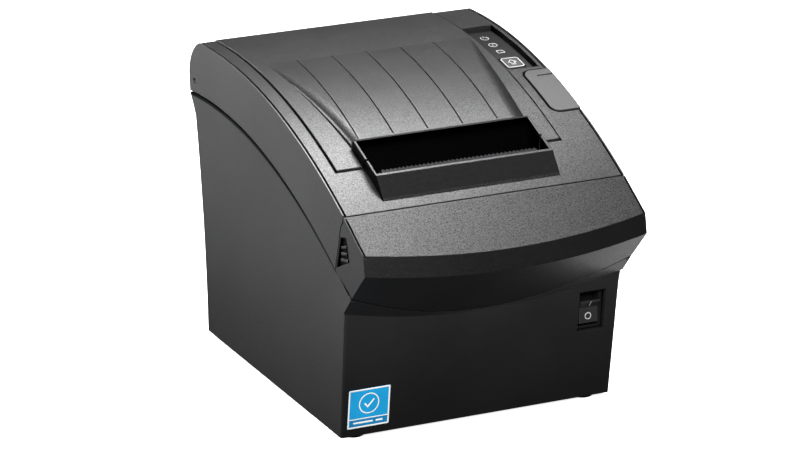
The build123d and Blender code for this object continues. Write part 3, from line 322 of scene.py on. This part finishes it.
def seam_zone(tree):
    """Painted shade: band along the joint of lower case and side panels, wider than the gap, mostly below
    it.
    """
    x, y, z = split_position(tree)
    back = combine(tree, "SUBTRACT", y, 0.0695)
    fall = combine(tree, "MULTIPLY", combine(tree, "MULTIPLY", back, back), 2.18)
    off = combine(tree, "SUBTRACT", combine(tree, "ADD", z, fall), 0.1197)
    near = product(tree, compare(tree, off, 0.0006, False), compare(tree, off, -0.0017, True))
    return product(tree, near, compare(tree, y, -0.0612, True))


def lip_zone(tree):
    """Partial mask of painted shade over the upright band across the front of the cover."""
    y = split_position(tree)[1]
    facing = tree.nodes.new("ShaderNodeSeparateXYZ")
    tree.links.new(tree.nodes.new("ShaderNodeTexCoord").outputs["Normal"], facing.inputs[0])
    sideways = combine(tree, "ABSOLUTE", facing.outputs["X"], 0.0)
    band = product(
        tree,
        compare(tree, y, -0.0700, False),
        compare(tree, sideways, 0.6, False),
        compare(tree, facing.outputs["Z"], 0.45, False),
        compare(tree, facing.outputs["Z"], -0.35, True),
    )
    return combine(tree, "MULTIPLY", band, 0.3)


def grip_zone(tree):
    """Mask of painted shade over the floor of the finger grips in the cover's side walls."""
    x, y, z = split_position(tree)
    out = combine(tree, "ABSOLUTE", x, 0.0)
    return product(
        tree,
        compare(tree, out, 0.0718, False),
        compare(tree, out, 0.0700, True),
        compare(tree, y, -0.0752, True),
        compare(tree, z, 0.0840, True),
        compare(tree, z, 0.1017, False),
    )


def zoned(material, outer_base, black_shade_colour):
    """Repaints a grained top plastic inside the pocket zones: darker, smoother and duller on the outer
    walls and panel floor, with painted black shadow inside.
    """
    tree = material.node_tree
    shader = tree.nodes["Principled BSDF"]
    outer, black_shade = pocket_zones(tree)
    base = shader.inputs["Base Color"].links[0].from_socket
    first = mix_colour(tree, outer, base, outer_base)
    tree.links.new(mix_colour(tree, black_shade, first, black_shade_colour), shader.inputs["Base Color"])
    bump = [n for n in tree.nodes if n.type == "BUMP"][0]
    either = combine(tree, "MAXIMUM", outer, black_shade)
    strength = bump.inputs["Strength"].default_value
    tree.links.new(ramp(tree, either, (0.0, 1.0, strength, 0.08)), bump.inputs["Strength"])
    metallic = shader.inputs["Metallic"].links[0].from_socket
    calm = combine(tree, "MULTIPLY", metallic, combine(tree, "SUBTRACT", 1.0, outer))
    half = combine(tree, "MULTIPLY", outer, 0.45)
    tree.links.new(
        combine(tree, "MAXIMUM", combine(tree, "MAXIMUM", calm, half), black_shade), shader.inputs["Metallic"]
    )
    return material


CASE = plastic(
    "case_side", (0.0150, 0.0150, 0.0155),
    0.44, grain=0.10, grain_scale=1500.0, edge=0.3, edge_radius=0.00022,
)
TOP = plastic(
    "top_grain", (0.0150, 0.0150, 0.0155),
    0.40, grain=0.5, grain_scale=1400.0, speckle=0.5, edge=0.35, swing=0.06, sparkle=0.85,
)
COVER = plastic(
    "cover_grain", (0.0140, 0.0140, 0.0144),
    0.40, grain=0.5, grain_scale=1300.0, speckle=0.3, edge=0.35, swing=0.06, sparkle=0.9,
)
LEVER = plastic("lever_satin", (0.0190, 0.0190, 0.0195), 0.52, grain=0.16, edge=0.4)
INNER = plastic("inner_black", (0.0060, 0.0060, 0.0064), 0.55, grain=0.2, edge=0.2)
BASE = plastic("base_black", (0.0080, 0.0080, 0.0084), 0.5, grain=0.3, edge=0.2)
RUBBER = plastic("foot_rubber", (0.0080, 0.0080, 0.0080), 0.8, grain=0.4, grain_scale=900.0, edge=0.1)
SWITCH = plastic("switch_gloss", (0.0030, 0.0030, 0.0032), 0.50, grain=0.04, edge=0.6, edge_radius=0.0003)
ROCKER = plastic(
    "rocker_satin", (0.0190, 0.0190, 0.0195),
    0.42, grain=0.05, edge=0.7, edge_radius=0.0003, reach=0.0004,
)
LENS_BLACK = plastic("smoked_lens", (0.0120, 0.0120, 0.0124), 0.35, grain=0.03, edge=0.2)
GEAR = plastic("gear_acetal", (0.62, 0.60, 0.55), 0.42, grain=0.05, edge=0.1)
WHITE = plastic("print_white", (0.85, 0.85, 0.84), 0.5, grain=0.03, edge=0.0)
GREY = plastic("print_grey", (0.5, 0.5, 0.5), 0.5, grain=0.03, edge=0.0, reach=0.0004)
BLUE = plastic("label_blue", (0.012, 0.300, 0.600), 0.35, grain=0.04, edge=0.0)
DEEP_BLUE = plastic("label_deep_blue", (0.008, 0.190, 0.420), 0.35, grain=0.04, edge=0.0)
BOARD = plastic("solder_mask", (0.010, 0.085, 0.040), 0.3, grain=0.1, edge=0.1)
CERAMIC = plastic("head_glaze", (0.5, 0.48, 0.42), 0.2, grain=0.05, edge=0.1)
# painted shade: case darker towards its foot and black in the seam band, cover black on grip floors and
# partly dark on the lip band, top black inside the pocket
shade_down(CASE)
darken(CASE, seam_zone(CASE.node_tree))
darken(COVER, grip_zone(COVER.node_tree))
darken(COVER, lip_zone(COVER.node_tree))
zoned(TOP, (0.0100, 0.0100, 0.0104), (0.0008, 0.0008, 0.0008))
SHEET = metal("zinc_sheet", (0.55, 0.56, 0.57), 0.36)
SHAFT = metal("ground_shaft", (0.66, 0.66, 0.67), 0.22, (8.0, 1.0, 1.0))
BLADE = metal("blade_steel", (0.70, 0.70, 0.71), 0.18, (1.0, 60.0, 60.0))
CAN = metal("motor_can", (0.45, 0.45, 0.46), 0.4)
SINK = metal("heatsink_alloy", (0.72, 0.72, 0.73), 0.4, (1.0, 80.0, 80.0))
BRASS = metal("pinion_brass", (0.75, 0.56, 0.26), 0.3)
TEAR = metal("blackened_steel", (0.016, 0.016, 0.017), 0.6)
BOLT = metal("screw_zinc", (0.5, 0.5, 0.51), 0.35)

FINISHES = {
    "case_plastic": CASE,
    "top_plastic": TOP,
    "cover_plastic": COVER,
    "lever_plastic": LEVER,
    "inner_plastic": INNER,
    "base_plastic": BASE,
    "foot_rubber": RUBBER,
    "screw_steel": BOLT,
    "shaft_steel": SHAFT,
    "sheet_steel": SHEET,
    "blade_steel": BLADE,
    "tear_steel": TEAR,
    "motor_steel": CAN,
    "heatsink": SINK,
    "head_ceramic": CERAMIC,
    "platen_rubber": RUBBER,
    "gear_plastic": GEAR,
    "pinion_brass": BRASS,
    "circuit_board": BOARD,
    "socket_metal": SHEET,
    "socket_plastic": INNER,
    "switch_plastic": SWITCH,
    "label_film": BLUE,
    "lens_plastic": LENS_BLACK,
}
slots = {entry["node"]: entry["material_slot"] for entry in record["subparts"]}
OWN_FINISHES = {"power_rocker": ROCKER, "cutter_base": TEAR, "moving_blade": TEAR}
for name, piece in nodes.items():
    finish = OWN_FINISHES.get(name, FINISHES[slots[name]])
    piece.data.materials.clear()
    piece.data.materials.append(finish)


# ------------------------------------------------------------------ printed marks
class Patch:
    """A small flat working plane on a face: u to the right, v up the face, h out of it."""

    def __init__(self, origin, up, normal):
        self.origin = Vector(origin) * MM
        self.normal = Vector(normal).normalized()
        self.up = Vector(up).normalized()
        self.right = self.up.cross(self.normal)

    def at(self, u, v, h):
        return self.origin + (self.right * u + self.up * v + self.normal * h) * MM


def new_piece(name, shape, material, body):
    bmesh.ops.recalc_face_normals(shape, faces=shape.faces)
    mesh = bpy.data.meshes.new(name)
    shape.to_mesh(mesh)
    shape.free()
    mesh.materials.append(material)
    piece = bpy.data.objects.new(name, mesh)
    scene.collection.objects.link(piece)
    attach(piece, body)
    return piece


def add_stroke(shape, patch, points, width, closed=False, low=0.0, high=0.05):
    """Ribbon of even width along a line, with mitred corners."""
    count = len(points)
    flat = [Vector(p) for p in points]
    rows = []
    for i, here in enumerate(flat):
        before = flat[i - 1] if closed or i > 0 else None
        after = flat[(i + 1) % count] if closed or i < count - 1 else None
        first = (here - before).normalized() if before is not None else None
        second = (after - here).normalized() if after is not None else None
        first = first if first is not None else second
        second = second if second is not None else first
        side_a = Vector((-first.y, first.x))
        side_b = Vector((-second.y, second.x))
        mitre = (side_a + side_b).normalized()
        reach = width / 2 / max(0.35, mitre.dot(side_a))
        left = here + mitre * reach
        right = here - mitre * reach
        corners = ((left, high), (right, high), (right, low), (left, low))
        rows.append([shape.verts.new(patch.at(p.x, p.y, h)) for p, h in corners])
    for i in range(count if closed else count - 1):
        a = rows[i]
        b = rows[(i + 1) % count]
        for k in range(4):
            shape.faces.new((a[k], a[(k + 1) % 4], b[(k + 1) % 4], b[k]))
    if not closed:
        shape.faces.new(rows[0])
        shape.faces.new(rows[-1])


def add_plate(shape, patch, points, low=0.0, high=0.05):
    top = [shape.verts.new(patch.at(u, v, high)) for u, v in points]
    bottom = [shape.verts.new(patch.at(u, v, low)) for u, v in points]
    shape.faces.new(top)
    shape.faces.new(bottom)
    for i in range(len(points)):
        k = (i + 1) % len(points)
        shape.faces.new((top[i], top[k], bottom[k], bottom[i]))


def arc(radius, start, stop, steps, centre=(0.0, 0.0)):
    angles = [radians(start + (stop - start) * i / steps) for i in range(steps + 1)]
    return [(centre[0] + radius * cos(a), centre[1] + radius * sin(a)) for a in angles]


def ring(radius, centre=(0.0, 0.0), steps=40):
    return arc(radius, 0.0, 360.0, steps, centre)[:-1]


def rounded(half_u, half_v, radius, steps=6):
    corners = ((1, 1, 0), (-1, 1, 90), (-1, -1, 180), (1, -1, 270))
    points = []
    for su, sv, start in corners:
        centre = (su * (half_u - radius), sv * (half_v - radius))
        points += arc(radius, start, start + 90, steps, centre)
    return points


ROOF_BEND = 0.001937
ROOF_CREST = 67.2
ROOF_TOP = 145.5
PANEL_DEPTH = 3.0


def roof(y):
    return ROOF_TOP - ROOF_BEND * (y - ROOF_CREST) ** 2


def roof_patch(x, y, drop):
    slope = -2 * ROOF_BEND * (y - ROOF_CREST)
    return Patch((x, y, roof(y) - drop), (0, 1, slope), (0, -slope, 1))


ICON_X = 60.8
INK_TOP = 0.05
INK_FOOT = -0.1
FINE = 0.34

shape = bmesh.new()
power = roof_patch(ICON_X, 49.9, PANEL_DEPTH)
add_stroke(shape, power, arc(1.95, 125.0, 415.0, 30), FINE, low=INK_FOOT, high=INK_TOP)
add_stroke(shape, power, [(0.0, 0.4), (0.0, 2.3)], FINE, low=INK_FOOT, high=INK_TOP)
alert = roof_patch(ICON_X, 41.4, PANEL_DEPTH)
add_stroke(shape, alert, ring(1.95), FINE, closed=True, low=INK_FOOT, high=INK_TOP)
add_stroke(shape, alert, [(0.0, 1.1), (0.0, -0.2)], FINE, low=INK_FOOT, high=INK_TOP)
add_stroke(shape, alert, [(0.0, -0.7), (0.0, -1.1)], FINE, low=INK_FOOT, high=INK_TOP)
paper = roof_patch(ICON_X, 33.7, PANEL_DEPTH)
sheet = [(-1.7, -1.3), (-1.7, 1.3), (0.7, 1.3), (1.7, 0.3), (1.7, -1.3)]
add_stroke(shape, paper, sheet, FINE, closed=True, low=INK_FOOT, high=INK_TOP)
new_piece("panel_icons", shape, GREY, "case")

BUTTON_Y = 21.5
BUTTON_TOP = 0.4
BUTTON_INK_FOOT = 0.3
button_slope = -2 * ROOF_BEND * (BUTTON_Y - ROOF_CREST)
button_foot = (60.7, BUTTON_Y, roof(BUTTON_Y) - PANEL_DEPTH)
button_patch = Patch(button_foot, (0, 1, button_slope), (0, -button_slope, 1))
shape = bmesh.new()
outline = rounded(4.35, 4.35, 1.2)
add_stroke(shape, button_patch, outline, 0.46, closed=True, low=BUTTON_INK_FOOT, high=BUTTON_TOP + 0.04)
arrow = [(0.0, 2.5), (2.1, 0.35), (1.0, 0.35), (1.0, -1.0), (-1.0, -1.0), (-1.0, 0.35), (-2.1, 0.35)]
add_stroke(shape, button_patch, arrow, FINE, closed=True, low=BUTTON_INK_FOOT, high=BUTTON_TOP + 0.04)
underline = [(-1.2, -1.9), (1.2, -1.9)]
add_stroke(shape, button_patch, underline, FINE, low=BUTTON_INK_FOOT, high=BUTTON_TOP + 0.04)
new_piece("feed_arrow", shape, GREY, "button")

SWITCH_X = 57.2
SWITCH_Z = 46.3
shape = bmesh.new()
upper_face = Patch((SWITCH_X, -67.55, SWITCH_Z + 2.7), (0, -3.1, 4.4), (0, -4.4, -3.1))
lower_face = Patch((SWITCH_X - 0.2, -66.34, SWITCH_Z - 3.7), (0, 0.6, 7.5), (0, -7.5, 0.6))
add_stroke(shape, upper_face, [(0.0, -1.6), (0.0, 1.5)], 0.4, low=INK_FOOT, high=INK_TOP)
add_stroke(shape, lower_face, ring(1.5), 0.46, closed=True, low=INK_FOOT, high=INK_TOP)
new_piece("switch_marks", shape, GREY, "rocker")

LABEL = Patch((-56.7, -67.53, 16.0), (0, -0.0522, 1.0), (0, -1.0, -0.0522))
shape = bmesh.new()
LABEL_TOP = 0.2
LABEL_FOOT = 0.1
border = rounded(10.15, 9.25, 0.25, 3)
add_stroke(shape, LABEL, border, 0.8, closed=True, low=LABEL_FOOT, high=LABEL_TOP + 0.03)
add_stroke(shape, LABEL, [(-9.9, -5.2), (9.9, -5.2)], 0.55, low=LABEL_FOOT, high=LABEL_TOP + 0.03)
add_stroke(shape, LABEL, ring(4.9, (0.0, 2.1), 48), 0.6, closed=True, low=LABEL_FOOT, high=LABEL_TOP + 0.03)
tick = [(-2.3, 2.3), (-0.6, 0.4), (2.5, 4.0)]
add_stroke(shape, LABEL, tick, 0.8, low=LABEL_FOOT, high=LABEL_TOP + 0.03)
add_stroke(shape, LABEL, [(-7.6, -7.1), (2.4, -7.1)], 0.9, low=LABEL_FOOT, high=LABEL_TOP + 0.03)
add_stroke(shape, LABEL, [(3.8, -7.1), (7.4, -7.1)], 0.9, low=LABEL_FOOT, high=LABEL_TOP + 0.03)
new_piece("label_print", shape, WHITE, "case")
shape = bmesh.new()
band = [(-9.8, -8.9), (9.8, -8.9), (9.8, -5.2), (-9.8, -5.2)]
add_plate(shape, LABEL, band, low=LABEL_FOOT, high=LABEL_TOP + 0.01)
new_piece("label_band", shape, DEEP_BLUE, "case")

# ------------------------------------------------------------------ floor and light
floor_mesh = bpy.data.meshes.new("floor")
shape = bmesh.new()
bmesh.ops.create_grid(shape, x_segments=1, y_segments=1, size=3.0)
shape.to_mesh(floor_mesh)
shape.free()
floor = bpy.data.objects.new("floor", floor_mesh)
floor.location = (0.0, 0.0, 0.0)
scene.collection.objects.link(floor)
pale = bpy.data.materials.new("floor_pale")
tree, shader = node_kit(pale)
shader.inputs["Base Color"].default_value = (0.93, 0.93, 0.93, 1.0)
shader.inputs["Roughness"].default_value = 0.9
shader.inputs["Emission Color"].default_value = (1.0, 1.0, 1.0, 1.0)
shader.inputs["Emission Strength"].default_value = 0.85
floor_mesh.materials.append(pale)
floor.visible_glossy = False
floor.visible_diffuse = False
floor.visible_shadow = False


def softbox(name, at, target, width, height, power, spread=180.0):
    light = bpy.data.lights.new(name, "AREA")
    light.shape = "RECTANGLE"
    light.size = width
    light.size_y = height
    light.energy = power
    light.spread = radians(spread)
    lamp = bpy.data.objects.new(name, light)
    lamp.location = at
    aim = Vector(target) - Vector(at)
    lamp.rotation_euler = aim.to_track_quat("-Z", "Y").to_euler()
    scene.collection.objects.link(lamp)
    return lamp


softbox("key_top", (0.15, 0.17, 0.77), (0.0, -0.03, 0.12), 0.26, 0.34, 11.0)
softbox("left_top", (-0.18, 0.20, 0.83), (0.0, -0.02, 0.12), 0.45, 0.30, 1.6)
softbox("left_rear", (-0.72, 0.62, 0.26), (-0.07, 0.08, 0.14), 0.5, 0.4, 2.6, spread=60.0)
softbox("front_fill", (-0.9, -1.7, 1.3), (0.0, -0.05, 0.06), 0.8, 0.6, 80.0)
softbox("right_low", (0.50, 0.00, -0.30), (0.05, -0.09, 0.08), 0.35, 0.35, 0.8)

world = bpy.data.worlds.new("studio")
scene.world = world
world.use_nodes = True
world.node_tree.nodes["Background"].inputs["Color"].default_value = (0.02, 0.02, 0.0205, 1.0)
world.node_tree.nodes["Background"].inputs["Strength"].default_value = 1.0
